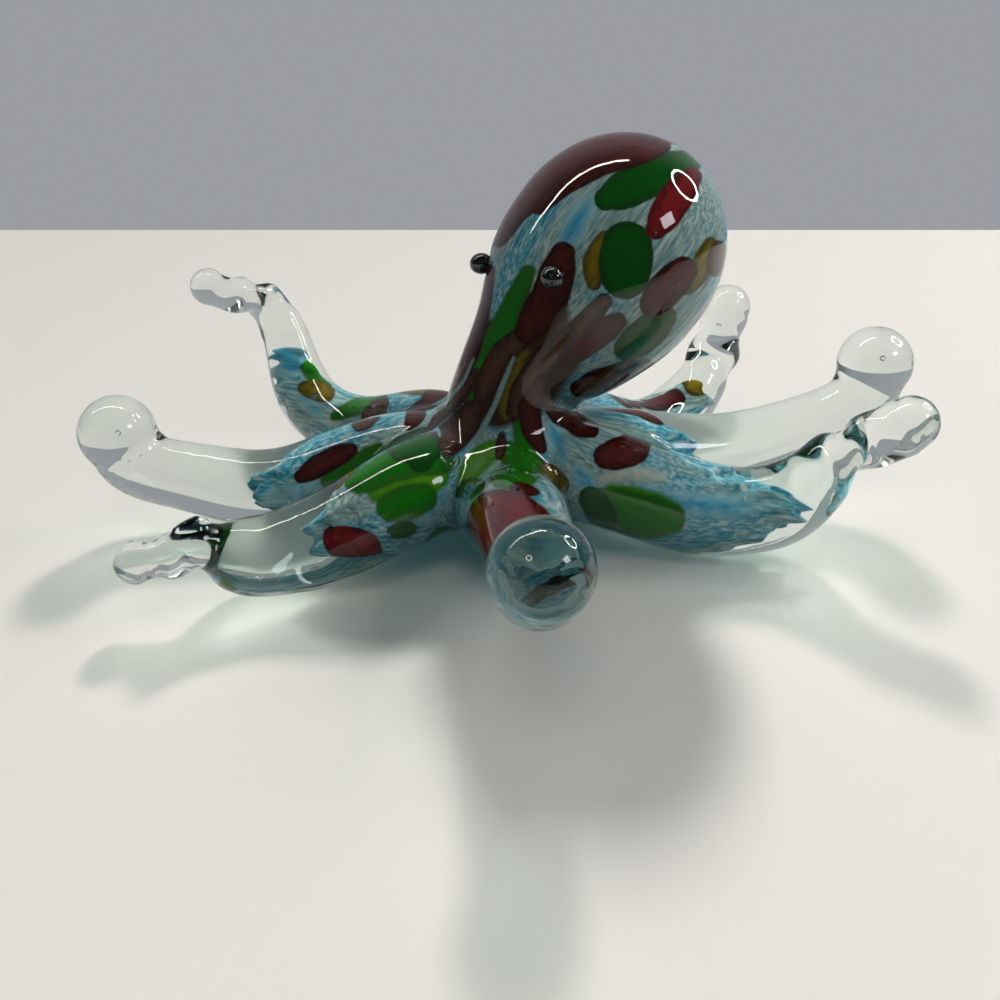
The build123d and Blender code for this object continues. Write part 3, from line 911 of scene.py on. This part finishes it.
# %% Ring lamp
RING_RADIUS, RING_TUBE, RING_PLACE = 200, 13, (780, 260, 700)
RING_STEPS, TUBE_STEPS = 64, 12
ring_mesh = bmesh.new()
hoops = []
for step in range(RING_STEPS):
    round_ring = Matrix.Rotation(2 * math.pi * step / RING_STEPS, 3, "Z")
    hoop = []
    for tube_step in range(TUBE_STEPS):
        turned = 2 * math.pi * tube_step / TUBE_STEPS
        place = Vector((RING_RADIUS + RING_TUBE * math.cos(turned), 0, RING_TUBE * math.sin(turned)))
        hoop.append(ring_mesh.verts.new(round_ring @ place * MM))
    hoops.append(hoop)
for step, hoop in enumerate(hoops):
    following = hoops[(step + 1) % RING_STEPS]
    for tube_step in range(TUBE_STEPS):
        after = (tube_step + 1) % TUBE_STEPS
        ring_mesh.faces.new((hoop[tube_step], following[tube_step], following[after], hoop[after]))
mesh = bpy.data.meshes.new("ring_lamp")
ring_mesh.to_mesh(mesh)
ring_mesh.free()
ring = new_piece("ring_lamp", mesh)
ring.location = from_photo(*RING_PLACE)
ring.rotation_euler = (from_photo(*LAMP_AIM) - ring.location).to_track_quat("-Z", "Y").to_euler()
glow, tree, output = new_material("lamp_glow")
light = node(tree, "ShaderNodeEmission", Color=linear("#FFFDF8"), Strength=40.0)
tree.links.new(light.outputs[0], output.inputs["Surface"])
mesh.materials.append(glow)
print("ring of", len(mesh.polygons), "faces")

# %% [markdown]
# ## Room
# Behind the table the room is a grey wall, and it is darker to the sides and behind us, so that the clear
# arms get the dark rims that real glass shows. It lights the table less than it shows, so that the lamps
# decide the shadows.

# %% World
WALL_COLOUR = "#9A9CA1"
ROOM_FROM, ROOM_TO = -0.6, 0.7
ROOM_DIMMING = -0.4
world = bpy.data.worlds.new("room")
bpy.context.scene.world = world
world.use_nodes = True
tree = world.node_tree
tree.nodes.clear()
way = node(tree, "ShaderNodeTexCoord").outputs["Generated"]
away = turn @ Vector((0, 1, 0))
towards_wall = node(tree, "ShaderNodeVectorMath", {"operation": "DOT_PRODUCT"}, _0=way, _1=away)
room = node(tree, "ShaderNodeMapRange", Value=towards_wall.outputs["Value"],
            From_Min=ROOM_FROM, From_Max=ROOM_TO)
room_colour = node(tree, "ShaderNodeValToRGB", stops=[(0, "#3E4345"), (0.66, "#474D50"), (1, WALL_COLOUR)],
                   Fac=room.outputs[0])
path = node(tree, "ShaderNodeLightPath")
strength = node(tree, "ShaderNodeMath", {"operation": "MULTIPLY_ADD"},
                _0=path.outputs["Is Diffuse Ray"], _1=ROOM_DIMMING, _2=1.0)
sky_light = node(tree, "ShaderNodeBackground", Color=room_colour.outputs[0], Strength=strength.outputs[0])
node(tree, "ShaderNodeOutputWorld", Surface=sky_light.outputs[0])
bpy.context.scene.view_settings.view_transform = "Standard"
print("the wall is", WALL_COLOUR)
